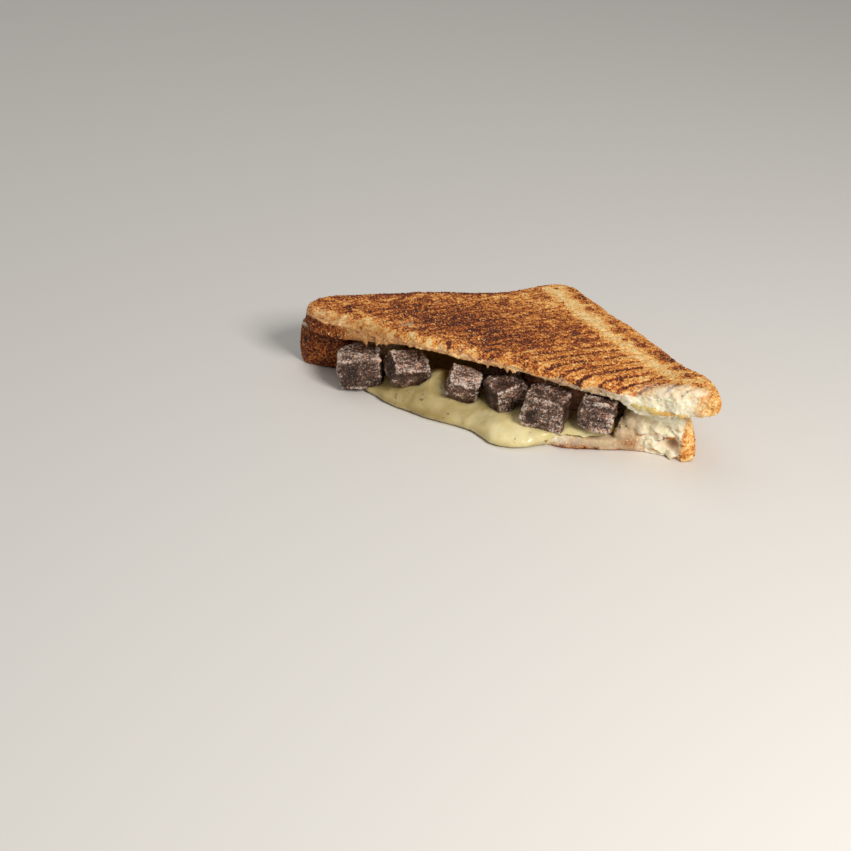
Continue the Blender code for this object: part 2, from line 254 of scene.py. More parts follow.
def crumb_relief_tree():
    """Geometry Nodes that raise and sink a bread surface by its stored shares."""
    tree = bpy.data.node_groups.new("crumb_relief", "GeometryNodeTree")
    sockets = tree.interface
    sockets.new_socket("Geometry", in_out="INPUT", socket_type="NodeSocketGeometry")
    for name, _ in RELIEF:
        sockets.new_socket(name, in_out="INPUT", socket_type="NodeSocketFloat")
    sockets.new_socket("Geometry", in_out="OUTPUT", socket_type="NodeSocketGeometry")
    nodes, links = tree.nodes, tree.links
    given = nodes.new("NodeGroupInput")
    result = nodes.new("NodeGroupOutput")
    place = nodes.new("GeometryNodeInputPosition").outputs[0]
    normal = nodes.new("GeometryNodeInputNormal").outputs[0]

    def share(name):
        reader = nodes.new("GeometryNodeInputNamedAttribute")
        reader.data_type = "FLOAT"
        reader.inputs["Name"].default_value = name
        return reader.outputs["Attribute"]

    def calc(operation, *values):
        return math_node(tree, operation, *values)

    def cloud(scale, detail):
        """Cloudy noise between -1 and 1."""
        return calc("MULTIPLY_ADD", noise_node(tree, place, scale, detail, 0.65), 2.0, -1.0)

    def pores(size):
        """1 in the middle of a pore and 0 between pores, some of which stay shut."""
        warp = nodes.new("ShaderNodeTexNoise")
        links.new(place, warp.inputs["Vector"])
        warp.inputs["Scale"].default_value = 700.0
        push = nodes.new("ShaderNodeVectorMath")
        push.operation = "MULTIPLY_ADD"
        links.new(warp.outputs["Color"], push.inputs[0])
        push.inputs[1].default_value = (PORE_WARP, PORE_WARP, PORE_WARP)
        links.new(place, push.inputs[2])
        texture = nodes.new("ShaderNodeTexVoronoi")
        texture.feature = "SMOOTH_F1"
        links.new(push.outputs[0], texture.inputs["Vector"])
        links.new(calc("DIVIDE", 1.0, size), texture.inputs["Scale"])
        texture.inputs["Smoothness"].default_value = 0.2
        pit = calc("MULTIPLY", calc("SUBTRACT", 0.46, texture.outputs["Distance"]), 3.2)
        split = nodes.new("FunctionNodeSeparateColor")
        links.new(texture.outputs["Color"], split.inputs[0])
        opened = calc("GREATER_THAN", split.outputs[0], SHUT_PORES)
        clamp = nodes.new("ShaderNodeClamp")
        links.new(calc("MULTIPLY", pit, opened), clamp.inputs[0])
        return clamp.outputs[0]

    small = pores(calc("MULTIPLY", given.outputs["Pore size"], 0.6))
    large = pores(given.outputs["Pore size"])
    rough_face = calc("MULTIPLY_ADD", cloud(900.0, 2.0), 1.6, calc("MULTIPLY", small, -0.5))
    torn_face = calc("MULTIPLY_ADD", cloud(760.0, 3.0), 1.3, calc("MULTIPLY", large, -0.8))
    face, crumb = share("face"), share("crumb")
    toast = calc("MULTIPLY", calc("MULTIPLY", rough_face, given.outputs["Toast depth"]), face)
    torn = calc("MULTIPLY", calc("MULTIPLY", torn_face, given.outputs["Crumb depth"]), crumb)
    groove = calc("MULTIPLY", calc("MULTIPLY", share("groove"), given.outputs["Groove depth"]), -1.0)
    rise = calc("ADD", calc("ADD", toast, torn), groove)
    height = calc("ADD", calc("MULTIPLY", rough_face, face), calc("MULTIPLY", torn_face, crumb))
    keep = nodes.new("GeometryNodeStoreNamedAttribute")
    keep.data_type = "FLOAT"
    keep.domain = "POINT"
    keep.inputs["Name"].default_value = "height"
    links.new(given.outputs["Geometry"], keep.inputs["Geometry"])
    links.new(height, keep.inputs["Value"])
    offset = nodes.new("ShaderNodeVectorMath")
    offset.operation = "SCALE"
    links.new(normal, offset.inputs[0])
    links.new(rise, offset.inputs["Scale"])
    shift = nodes.new("GeometryNodeSetPosition")
    links.new(keep.outputs[0], shift.inputs["Geometry"])
    links.new(offset.outputs[0], shift.inputs["Offset"])
    realize = nodes.new("GeometryNodeRealizeInstances")
    links.new(shift.outputs[0], realize.inputs[0])
    material = nodes.new("GeometryNodeSetMaterial")
    material.inputs["Material"].default_value = bread_material
    links.new(realize.outputs[0], material.inputs[0])
    links.new(material.outputs[0], result.inputs[0])
    return tree


def set_input(modifier, name, value):
    """Sets a Geometry Nodes modifier's named input by its identifier."""
    for item in modifier.node_group.interface.items_tree:
        if item.item_type == "SOCKET" and item.in_out == "INPUT" and item.name == name:
            modifier[item.identifier] = value


def stored_share(tree, name):
    """What a piece's mesh stores under a name, for its material."""
    reader = tree.nodes.new("ShaderNodeAttribute")
    reader.attribute_name = name
    return reader.outputs["Fac"]


def colour_band(tree, factor, stops):
    """Colours that follow a value, each given with its position."""
    band = tree.nodes.new("ShaderNodeValToRGB")
    elements = band.color_ramp.elements
    while len(elements) < len(stops):
        elements.new(0.5)
    for element, (position, colour) in zip(elements, stops):
        element.position = position
        element.color = (*colour, 1.0)
    tree.links.new(factor, band.inputs[0])
    return band.outputs[0]


def mix_node(tree, factor, first, second, blend="MIX"):
    """A colour mixed, or with MULTIPLY shaded, with a fixed or another node's colour."""
    mix = tree.nodes.new("ShaderNodeMix")
    mix.data_type = "RGBA"
    mix.blend_type = blend
    tree.links.new(factor, mix.inputs["Factor"])
    tree.links.new(first, mix.inputs["A"])
    if isinstance(second, tuple):
        mix.inputs["B"].default_value = (*second, 1.0)
    else:
        tree.links.new(second, mix.inputs["B"])
    return mix.outputs["Result"]


def add_bump(tree, height, strength, distance):
    """Relief too fine for the mesh, on a material's shader alone."""
    bump = tree.nodes.new("ShaderNodeBump")
    bump.inputs["Strength"].default_value = strength
    bump.inputs["Distance"].default_value = distance
    tree.links.new(height, bump.inputs["Height"])
    tree.links.new(bump.outputs[0], tree.nodes["Principled BSDF"].inputs["Normal"])


def make_bread_material():
    """Toast from cream to char by the stored level, and torn crumb by its share."""
    material = bpy.data.materials.new("grilled_bread")
    material.use_nodes = True
    tree = material.node_tree
    shader = tree.nodes["Principled BSDF"]
    place = tree.nodes.new("ShaderNodeTexCoord").outputs["Object"]
    toasting, torn = stored_share(tree, "toasting"), stored_share(tree, "crumb")

    def calc(operation, *values):
        return math_node(tree, operation, *values)

    grain = noise_node(tree, place, 1300.0, 2.0, 0.7)
    patch = noise_node(tree, place, 420.0, 3.0, 0.65)
    contrast = calc("MULTIPLY_ADD", toasting, 1.50, 1.20)
    level = calc("MULTIPLY_ADD", calc("SUBTRACT", grain, 0.5), contrast, toasting)
    level = calc("MULTIPLY_ADD", patch, 0.80, level)
    level = calc("MULTIPLY_ADD", stored_share(tree, "height"), 0.10, level)
    level = calc("SUBTRACT", level, 0.395)
    toast = colour_band(tree, level, ((0.00, (0.95, 0.75, 0.42)), (0.11, (0.93, 0.635, 0.27)),
                                      (0.25, (0.85, 0.465, 0.13)), (0.39, (0.80, 0.315, 0.063)),
                                      (0.53, (0.57, 0.170, 0.034)), (0.67, (0.31, 0.072, 0.023)),
                                      (0.82, (0.160, 0.036, 0.015)), (1.00, (0.066, 0.020, 0.012))))
    crumb = colour_band(tree, noise_node(tree, place, 700.0, 5.0, 0.7),
                        ((0.28, (0.82, 0.62, 0.36)), (0.42, (0.94, 0.82, 0.56)),
                         (0.60, (0.98, 0.92, 0.75))))
    colour = mix_node(tree, torn, toast, crumb)
    # Brown multiplied in by the soak_and_shade share: soaking in the lower slice, and painted shade
    # where the bread lies in shade.
    colour = mix_node(tree, stored_share(tree, "soak_and_shade"), colour, (0.44, 0.275, 0.135), "MULTIPLY")
    rough = calc("MULTIPLY_ADD", torn, 0.25, calc("MULTIPLY_ADD", grain, 0.7, 0.22))
    tree.links.new(colour, shader.inputs["Base Color"])
    tree.links.new(rough, shader.inputs["Roughness"])
    tree.links.new(calc("MULTIPLY_ADD", torn, 0.30, 0.08), shader.inputs["Subsurface Weight"])
    for name, value in (("Specular IOR Level", 0.18), ("Subsurface Radius", (1.0, 0.60, 0.32)),
                        ("Subsurface Scale", 0.0012)):
        shader.inputs[name].default_value = value
    add_bump(tree, grain, 0.7, 0.0003)
    return material


bread_material = make_bread_material()
bread_relief = crumb_relief_tree()


def give_relief(piece):
    """Runs the bread's Geometry Nodes on a piece and keeps the result as its mesh."""
    relief = piece.modifiers.new("relief", "NODES")
    relief.node_group = bread_relief
    for name, value in RELIEF:
        set_input(relief, name, value)
    apply_modifiers(piece)


def grill_stripes(x, y):
    """1 on a mark of the grill's ridges and 0 between the marks."""
    across = x * math.sin(STRIPE_TURN) - y * math.cos(STRIPE_TURN)
    return ramp(0.25, 0.98, np.cos(2 * math.pi * across / STRIPE_SPACING))


upper = solid_copy("upper_slice", "toasted_upper_slice")
refine(upper, BREAD_GRAIN, smoothing=14)
places, normals = read_points(upper.data)
x, y, z = places.T
stations, top_edge, lip = cut_edges(places, normals)
depth = np.interp(x, stations, top_edge) - z
lift = z - np.interp(x, stations, lip)
lumps = mottle(places, 3.2, 6, 2)

# The pressed face rolls over the cut, and wisps of crumb hang from its lower lip.
near = 1.0 - ramp(0.0, 5.0, y)
shoulder = near ** 2 * (1.0 - ramp(0.0, 5.5, depth))
at_lip = (1.0 - ramp(0.0, 3.2, lift)) * (1.0 - ramp(2.0, 5.0, y))
tufts = ramp(0.05, 0.9, mottle(places * (1.0, 0.4, 0.4), 1.7, 7, 3))
ragged = 0.3 + 2.4 * ramp(-0.1, 0.5, mottle(places * (1.0, 0.1, 0.1), 8.0, 8, 2))
places[:, 2] += shoulder * (0.5 * lumps - 1.5) - at_lip * tufts * ragged
places[:, 1] -= 0.45 * (1.0 - ramp(1.0, 4.0, y)) * (lumps + at_lip * tufts)
move_to(upper.data, places)
places, normals = read_points(upper.data)
sideways = 1.0 - ramp(0.35, 0.75, np.abs(normals[:, 2]))
on_crust = (normals[:, 1] > -0.35) & (np.abs(normals[:, 2]) < 0.4) & (y > 1.0)
from_crust = rim_distance(places, places[on_crust][::3])
face_up = ramp(0.30, 0.70, normals[:, 2])
crust_side = sideways * ramp(-0.55, -0.25, normals[:, 1])
patches = mottle(places, 9.0, 1, 3)
flecks = mottle(places, 2.4, 2, 2)

# Toasting of the pressed face, from 0, cream, to 1, charred.
along_marks = x * math.cos(STRIPE_TURN) + y * math.sin(STRIPE_TURN)
across_marks = x * math.sin(STRIPE_TURN) - y * math.cos(STRIPE_TURN)
flat = np.zeros(len(x))
streaks = mottle(np.stack((along_marks / 4.5, across_marks / 1.5, flat), 1), 1.0, 4, 3)
stripes = grill_stripes(x + 0.6 * flecks + 0.8 * patches, y)
faint = ramp(-0.7, 0.0, mottle(places, 6.0, 3, 2))
# The back right crust lies furthest along this direction, and the grill missed its rim.
outward = 0.649 * x + 0.761 * y + 2.2 * patches
unpressed = ramp(42.5, 49.0, outward)
level = 0.57 + 0.16 * patches
level += 0.23 * blob(x, y, (-30, 22), (20, 15))
level += 0.13 * blob(x, y, (-6, 24), (26, 18))
level -= 0.10 * blob(x, y, (-38, 40), (16, 6))
level -= 0.13 * blob(x, y, (-14, 55), (16, 9))
level += (0.13 + 0.05 * patches - level) * unpressed
level = np.clip(level, 0.10, 1.0)
crease = np.exp(-(((x + 55.0) * 0.69 + (y - 3.0) * 0.73) / 2.0) ** 2)
crease *= 1.0 - ramp(9.0, 15.0, y)
level -= (0.26 + 0.12 * ramp(-62.0, -56.0, x)) * crease * ramp(-72.0, -64.0, x)
level -= 0.22 * blob(x, y, (-66, 0), (9, 4))
beside_cut = (1.0 - ramp(0.8, 5.6, y + 2.0 * flecks)) * ramp(-62.0, -52.0, x)
beside_cut *= 1.0 - ramp(-10.0, 8.0, x)
level += (0.31 + 0.18 * flecks - level) * (0.75 - 0.25 * ramp(-40.0, -10.0, x)) * beside_cut
level -= 0.12 * (1.0 - ramp(-80.0, -74.0, x + 2.0 * flecks)) * (1.0 - ramp(4.0, 9.0, y))
back_strip = (1.0 - ramp(-6.0, 8.0, x)) * (1.0 - ramp(2.8, 5.5, from_crust + flecks))
back_strip *= ramp(-78.0, -70.0, x)
strip_level = 0.82 - 0.34 * ramp(52.0, 62.0, y) + 0.12 * patches
level = level * (1.0 - back_strip) + back_strip * strip_level
striped = ramp(4.0, 20.0, x) * (1.0 - 0.85 * unpressed)
level += (0.10 + 0.54 * striped) * (stripes - 0.26) * faint * (1.0 - 0.7 * unpressed)
level += 0.30 * streaks * ramp(0.15, 0.4, level) * (1.0 - 0.45 * striped)
rim = ramp(-14.0, -4.0, x) * (1.0 - ramp(3.2, 5.2, from_crust + 0.9 * flecks))
rim *= ramp(44.0, 50.0, outward)
level += (0.34 + 0.10 * streaks - level) * rim
level -= 0.50 * np.clip(level - 0.64, 0.0, 1.0) * ramp(0.0, 14.0, x)
ash = blob(x, y, (-42.0, 8.6), (3.4, 1.7)) * ramp(-0.3, 0.3, streaks)
rolled_brown = ramp(5.0, 13.0, x) * (1.0 - ramp(37.0, 45.0, x))
near_cut = 1.0 - ramp(-0.5, 3.4, y + 1.2 * flecks)
level -= 0.16 * near_cut * (1.0 - 0.8 * rolled_brown)
# The crust sides are painted darker to the left, as painted shade, and paler to the right, as painted
# light; the patches are the crust's own unevenness.
side_level_and_shade = 0.36 + 0.42 * (1.0 - ramp(-60.0, 10.0, x)) + 0.15 * patches
level = level * (1.0 - crust_side) + side_level_and_shade * crust_side
right_crust = ramp(68.5, 71.5, x + flecks) * (1.0 - ramp(0.55, 0.9, normals[:, 2]))
right_crust *= 1.0 - ramp(5.0, 9.0, y)
level += (0.03 + 0.24 * patches + 0.08 * flecks - level) * right_crust * (1.0 - 0.7 * rim)
wavy_x, wavy_y = x + 1.3 * flecks, y - 1.1 * flecks
burnt = sum(strength * blob(wavy_x, wavy_y, middle, (size, size))
            for middle, size, strength in BURNT_SPOTS)
level += np.clip(1.6 * burnt * ramp(-1.3, -0.2, flecks + 0.6 * streaks), 0.0, 0.62)
charred = sum(blob(x, y, middle, (size, size)) for middle, size in CHARRED_SPECKS) * (z > 15.0)

# Torn crumb shows below the rolled edge; the left end is crust all the way round.
left_tip = 1.0 - ramp(-67.0, -59.0, x + flecks)
golden = 1.0 - ramp(8.0, 42.0, x)
crumb = ramp(-0.3, 1.9, depth - 3.6 * rolled_brown + 1.2 * flecks) * (1.0 - ramp(3.0, 6.0, y))
crumb = np.maximum(crumb, 1.0 - ramp(-0.2, 0.3, normals[:, 2])) * (1.0 - crust_side)
level += (0.32 + 0.16 * flecks - level) * crumb * golden
crumb *= (1.0 - left_tip) * (1.0 - 0.80 * golden)
open_end = ramp(46.0, 58.0, x + flecks) * (1.0 - ramp(0.0, 8.0, y + 2.0 * flecks))
open_end *= 1.0 - crust_side
crumb = np.maximum(crumb, 0.85 * open_end) * (1.0 - 0.8 * right_crust) * (1.0 - rim)
crumb = np.maximum(crumb, 0.45 * ash)

# Painted shade browns the cut and its rolled edge, more to the left, and the left end's sides; the
# left end is dusted with flour.
in_shade = 0.50 * golden * (1.0 - ramp(-0.4, 0.4, normals[:, 2]))
in_shade *= 1.0 - 0.5 * ramp(-45.0, -10.0, x)
left_shade = 0.70 * (1.0 - ramp(-52.0, -22.0, x))
left_shade *= 1.0 - ramp(0.0, 5.0, y + 1.5 * flecks)
in_shade = np.maximum(in_shade, left_shade)
in_shade = np.maximum(in_shade, 0.6 * rolled_brown * crumb)
floury = (1.0 - ramp(-64.0, -56.0, x)) * np.exp(-((depth - 0.3 - 0.6 * flecks) / 0.8) ** 2)
floury *= 1.0 - ramp(1.5, 4.0, y)
tip_side = left_tip * (1.0 - ramp(0.55, 0.88, normals[:, 2])) * (1.0 - 0.7 * floury)
level += (0.64 + 0.12 * patches - level) * tip_side
level += (0.16 - level) * 0.35 * floury + 1.2 * charred
crumb = np.maximum(crumb, 0.25 * floury) * (1.0 - np.clip(charred, 0.0, 1.0))
grained = np.clip(face_up + 0.4 * crust_side + 0.5 * near_cut, 0.0, 1.0)
store(upper.data, "toasting", np.clip(level, 0.03, 1.0))
store(upper.data, "face", grained * (1.0 - crumb))
store(upper.data, "groove", face_up * stripes * (0.25 + 0.75 * striped) * (1.0 - near_cut))
store(upper.data, "crumb", np.clip(crumb, 0.0, 1.0))
# Painted shade: the in_shade, left_shade and tip_shade shares darken the cut, its lip and the left
# end's sides, stored as the soak_and_shade share.
tip_shade = 0.6 * left_tip * (1.0 - face_up)
store(upper.data, "soak_and_shade", np.clip(np.maximum(tip_shade, in_shade) * (1.0 - 0.7 * floury), 0.0, 0.8))
give_relief(upper)
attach(upper, "root")
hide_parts("upper_slice")

# ==== The lower slice ===============================================================
# The same bread, its crumb pressed thin and soaked with cheese under the filling, torn
# and thick at the right end, and browned underneath where it lay on the grill.
TUNNEL = (61.5, 6.0)                # mm along the cut and up, a burst bubble in the crumb
# Torn crumb left between the last cube and the thick end: middle and half sizes in mm.
TORN_LUMPS = (((44.6, 6.0, 10.0), (2.4, 2.6, 3.4)), ((46.8, 5.4, 12.6), (2.6, 2.6, 3.6)),
              ((44.0, 4.6, 7.0), (2.6, 2.2, 2.6)), ((48.6, 6.4, 14.8), (2.8, 2.4, 3.2)),
              ((46.0, 8.6, 13.2), (2.8, 3.0, 3.2)), ((50.4, 6.0, 11.0), (2.6, 2.2, 4.0)))


def add_lumps(piece, lumps):
    """Adds egg-shaped lumps to a piece, to be melted into it by its remesh."""
    shell = bmesh.new()
    shell.from_mesh(piece.data)
    for middle, sizes in lumps:
        lump = bmesh.ops.create_icosphere(shell, subdivisions=3, radius=0.001)["verts"]
        for vert in lump:
            stretched = Vector([along * size for along, size in zip(vert.co, sizes)])
            vert.co = stretched + Vector(middle) / 1000 + CUT_MIDDLE
    shell.to_mesh(piece.data)
    shell.free()


lower = solid_copy("lower_slice", "toasted_lower_slice")
add_lumps(lower, TORN_LUMPS)
refine(lower, BREAD_GRAIN, smoothing=12)
places, normals = read_points(lower.data)
x, y, z = places.T
in_front = ramp(0.1, 0.6, -normals[:, 1]) * (1.0 - ramp(9.0, 13.0, y))
torn = in_front * ramp(50.0, 54.0, x) * (1.0 - ramp(65.0, 68.0, x))
lumps = mottle(places, 3.4, 16, 2)
hollow = np.exp(-((x - TUNNEL[0]) / 2.5) ** 2 - ((z - TUNNEL[1]) / 2.1) ** 2)
lifted = np.clip(z, 0.0, 1.0)
places[:, 1] += torn * (3.2 * hollow - 1.3 * lumps) - 0.3 * in_front * lumps
places[:, 0] += torn * 0.6 * mottle(places, 2.6, 17, 1)
places[:, 2] += torn * lifted * 0.8 * mottle(places, 3.0, 18, 1)
move_to(lower.data, places)
places, normals = read_points(lower.data)
x, y, z = places.T
sideways = 1.0 - ramp(0.35, 0.75, np.abs(normals[:, 2]))
face_down = ramp(0.30, 0.70, -normals[:, 2])
crust_side = sideways * ramp(-0.45, -0.10, normals[:, 1]) * (1.0 - torn)
crust_side = np.maximum(crust_side, ramp(65.2, 66.4, x + 0.04 * (18.0 - z)) * (1.0 - face_down))
patches = mottle(places, 8.0, 11, 3)
flecks = mottle(places, 2.4, 12, 2)
level = 0.55 + 0.20 * patches + 0.20 * (grill_stripes(x, -y) - 0.4) + 0.10 * flecks
# The crust sides are painted darker to the left, as painted shade, and paler to the right, as painted
# light; patches and flecks are the crust's own unevenness.
side_level_and_shade = 0.18 + 0.56 * (1.0 - ramp(-70.0, 10.0, x)) + 0.30 * patches + 0.16 * flecks
crust_edge = 0.34 * np.exp(-((x - 66.3 + 0.04 * z) / 1.3) ** 2)
side_level_and_shade += crust_edge * (1.0 - ramp(9.0, 15.0, z + 3.0 * flecks))
level = level * (1.0 - crust_side) + side_level_and_shade * crust_side
burnt_edge = (1.0 - ramp(0.8, 3.0, z + 1.4 * flecks)) * ramp(-0.2, 0.2, patches) * (1.0 - torn)
level = np.maximum(level, 0.78 * burnt_edge)
level = np.maximum(level, 0.45 * torn * hollow)
left_tip = 1.0 - ramp(-68.0, -58.0, x + flecks)
level += (0.70 + 0.1 * patches - level) * left_tip * (1.0 - face_down)
crumb = (1.0 - face_down) * (1.0 - crust_side) * (1.0 - burnt_edge) * (1.0 - left_tip)
crumb *= 1.0 - 0.6 * torn * hollow
seam = (1.0 - ramp(-76.0, -70.0, x)) * np.exp(-((z - 16.8 - 0.5 * flecks) / 0.8) ** 2)
seam *= 1.0 - face_down
crumb = np.maximum(crumb, 0.9 * seam)
pressed = ramp(20.0, 34.0, x) * (1.0 - ramp(49.0, 53.0, x)) * (1.0 - crust_side)
browned = pressed * blob(x, z, (47.5, 4.0), (3.5, 3.0))
browned += pressed * blob(x, z, (28.0, 2.0), (5.0, 2.6))
level += (0.50 + 0.2 * flecks - level) * browned
crumb *= 1.0 - 0.75 * browned
store(lower.data, "toasting", np.clip(level, 0.03, 1.0))
store(lower.data, "face", face_down * 0.4 + (0.4 + 0.5 * ramp(50.0, 60.0, x)) * crust_side)
store(lower.data, "groove", np.zeros(len(x)))
store(lower.data, "crumb", np.clip(crumb, 0.0, 1.0))
# The soak_and_shade share: painted shade on the left tip, and cheese soaked into the pressed strip.
store(lower.data, "soak_and_shade", np.clip((0.6 * left_tip + 0.58 * pressed) * (1.0 - seam), 0.0, 1.0))
give_relief(lower)
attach(lower, "root")
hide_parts("lower_slice")

# ==== The cheese ====================================================================
# A mild yellow cheese, melted between the slices and set again: a smooth rounded sheet
# that ran out over the bread's front edge on to the table, a little greasy.
CHEESE_GRAIN = 0.0005               # side of its mesh faces, in metres
# Painted light: where the cheese is left paler, for the highlight on its bulge and a lit bump: place
# along the cut and up, and half sizes, in mm.
PAINTED_LIGHT_PATCHES = (((8.0, 4.0), (9.0, 5.0)), ((23.0, 6.0), (7.0, 3.5)), ((-31.0, 11.5), (4.0, 3.5)),
                 ((30.0, 4.5), (6.0, 3.0)))


def make_cheese_material():
    """Clouds of two yellows with brown flecks, darker by the stored stain_and_shade share, which
    holds uneven browning and painted shade.
    """
    material = bpy.data.materials.new("melted_cheese")
    material.use_nodes = True
    tree = material.node_tree
    shader = tree.nodes["Principled BSDF"]
    place = tree.nodes.new("ShaderNodeTexCoord").outputs["Object"]
    tone = colour_band(tree, noise_node(tree, place, 120.0, 3.0),
                       ((0.32, (0.69, 0.555, 0.235)), (0.68, (0.86, 0.76, 0.42))))
    fleck = colour_band(tree, noise_node(tree, place, 420.0, 2.0),
                        ((0.68, (0.0, 0.0, 0.0)), (0.74, (1.0, 1.0, 1.0))))
    colour = mix_node(tree, fleck, tone, (0.34, 0.17, 0.05))
    # A dark olive multiplied in by the stain_and_shade share: uneven browning and painted shade.
    colour = mix_node(tree, stored_share(tree, "stain_and_shade"), colour, (0.40, 0.305, 0.135), "MULTIPLY")
    tree.links.new(colour, shader.inputs["Base Color"])
    for name, value in (("Roughness", 0.27), ("Coat Weight", 0.25), ("Coat Roughness", 0.12),
                        ("Subsurface Weight", 0.30), ("Subsurface Radius", (1.0, 0.7, 0.3)),
                        ("Subsurface Scale", 0.0025)):
        shader.inputs[name].default_value = value
    add_bump(tree, noise_node(tree, place, 600.0, 3.0), 0.25, 0.0004)
    return material


cheese = solid_copy("cheese", "melted_cheese")
refine(cheese, CHEESE_GRAIN, smoothing=24)
places, normals = read_points(cheese.data)
swell = 0.45 * mottle(places, 8.0, 31, 2) + 0.18 * mottle(places, 2.6, 32, 2)
move_to(cheese.data, places + normals * (swell * ramp(0.2, 1.5, places[:, 2]))[:, None])
x, y, z = places.T
cloudy = mottle(places, 7.0, 33, 2)
# Painted shade: darker to the left, further back under the cubes and deep inside the sandwich; the
# cloudy part is the cheese's own uneven browning, and the patches of painted light take some away.
stain_and_shade = 0.48 + 0.32 * cloudy + 0.12 * (1.0 - ramp(-30.0, -8.0, x))
for middle, reach in PAINTED_LIGHT_PATCHES:
    stain_and_shade -= 0.75 * blob(x, z, middle, reach)
stain_and_shade += 0.35 * ramp(-1.0, 6.0, y) * (1.0 - blob(x, y, (-31, 8), (5, 7)))
stain_and_shade += ramp(8.0, 16.0, y)
store(cheese.data, "stain_and_shade", np.clip(stain_and_shade, 0.0, 1.0))
cheese.data.materials.append(make_cheese_material())
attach(cheese, "root")
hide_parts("cheese")

# ==== The beef ======================================================================
# Cubes of beef, browned outside, grey brown where the knife parted the fibres.  Each has
# coarse fibres along its own length, and a faint shine of fat.
BEEF_GRAIN = 0.00034                # side of its mesh faces, in metres
# For each cube: its turns in degrees, how pale its left, front, right and top sides are, which is
# painted light and shade by side (the seventh is painted dark all round as shade), and how red it is.
BEEF_CUBES = (((6, -8, 24), (0.22, -0.18, -0.30, 0.10), 0.03),
              ((22, 10, 46), (-0.20, -0.16, -0.05, 0.12), 0.05),
              ((20, 12, 18), (0.02, -0.12, -0.05, 0.20), 0.06),
              ((6, -14, 50), (-0.34, 0.06, -0.10, -0.12), 0.05),
              ((4, 3, 6), (0.05, -0.06, -0.25, -0.06), 0.045),
              ((-4, 5, 10), (0.05, 0.05, -0.15, -0.02), 0.045),
              ((6, -5, 12), (-0.40, -0.40, -0.40, -0.36), 0.16),
              ((3, 1, -4), (0.05, 0.05, 0.05, 0.10), 0.80))


def make_beef_material():
    """Dark to pale by the stored fibre_and_light share, fibres with painted light, shade and edge
    sheen; reddish by the other share.
    """
    material = bpy.data.materials.new("browned_beef")
    material.use_nodes = True
    tree = material.node_tree
    shader = tree.nodes["Principled BSDF"]
    place = tree.nodes.new("ShaderNodeTexCoord").outputs["Object"]

    def add_scaled(value, factor, base):
        return math_node(tree, "MULTIPLY_ADD", value, factor, base)

    grain = noise_node(tree, place, 1900.0, 2.0, 0.8)
    tint = noise_node(tree, place, 700.0, 3.0, 0.6)
    level = add_scaled(grain, 2.05, add_scaled(stored_share(tree, "fibre_and_light"), 0.96, -0.535))
    tone = colour_band(tree, level, ((0.20, (0.010, 0.006, 0.005)), (0.42, (0.060, 0.033, 0.024)),
                                     (0.60, (0.152, 0.101, 0.080)), (0.76, (0.33, 0.250, 0.215)),
                                     (0.95, (0.72, 0.65, 0.58))))
    warmth = add_scaled(tint, 6.0, -3.0)
    colour = mix_node(tree, warmth, tone, (1.32, 0.80, 0.52), "MULTIPLY")
    # A light red mixed in by the redness_and_light share: the meat's own red, and painted light and
    # shade.
    colour = mix_node(tree, stored_share(tree, "redness_and_light"), colour, (0.72, 0.30, 0.16))
    tree.links.new(colour, shader.inputs["Base Color"])
    tree.links.new(add_scaled(grain, 0.6, 0.12), shader.inputs["Roughness"])
    shader.inputs["Specular IOR Level"].default_value = 0.40
    add_bump(tree, grain, 0.8, 0.0004)
    return material


beef_material = make_beef_material()
beef_cubes = []
for number, (turns, side_lighting, redness_and_light) in enumerate(BEEF_CUBES, start=1):
    cube = solid_copy(f"beef_cube_{number}", f"browned_beef_{number}")
    refine(cube, BEEF_GRAIN, smoothing=2)
    places, normals = read_points(cube.data)
    turned = Euler([math.radians(turn) for turn in turns]).to_matrix()
    local = places @ np.array(turned)
    local -= (local.max(0) + local.min(0)) / 2
    facing = normals @ np.array(turned)
    share = np.abs(local) / (np.abs(local).max(0) * 0.93)
    edges = ramp(0.70, 0.98, np.sort(share, 1)[:, 1])
    strands = mottle(local * (0.35, 1.0, 1.0), 1.5, number + 20, 3)
    lumps = mottle(places, 4.5, number + 40, 2)
    grit = mottle(places, 0.8, number + 60, 2)
    rise = 0.08 + 0.24 * strands + 0.38 * lumps + 0.36 * grit + 0.35 * edges
    move_to(cube.data, places + normals * rise[:, None])
    # Painted light and shade by side: each side made paler or darker by how light falls on it, and
    # the edges painted paler as a sheen; strands, lumps and grit are the meat's own texture.
    left, front, right, top = side_lighting
    tone = left * ramp(0.3, 0.8, -facing[:, 0]) + right * ramp(0.3, 0.8, facing[:, 0])
    tone += front * ramp(0.3, 0.8, -facing[:, 1]) + top * ramp(0.3, 0.8, facing[:, 2])
    store(cube.data, "fibre_and_light", tone + 0.30 * edges + 0.28 * strands + 0.24 * lumps + 0.38 * grit)
    # The left sides of the redder cubes are painted redder, coloured by how light falls on those
    # sides, and the last cube's strong red is the meat's red and painted light where it lies in shade
    # under the lip.
    red_and_painted_light = redness_and_light * (1.0 + 0.8 * lumps)
    red_and_painted_light += 0.35 * (redness_and_light > 0.15) * ramp(0.3, 0.8, -facing[:, 0])
    store(cube.data, "redness_and_light", np.clip(red_and_painted_light, 0.0, 0.85))
    cube.data.materials.append(beef_material)
    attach(cube, "root")
    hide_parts(f"beef_cube_{number}")
    beef_cubes.append(cube)

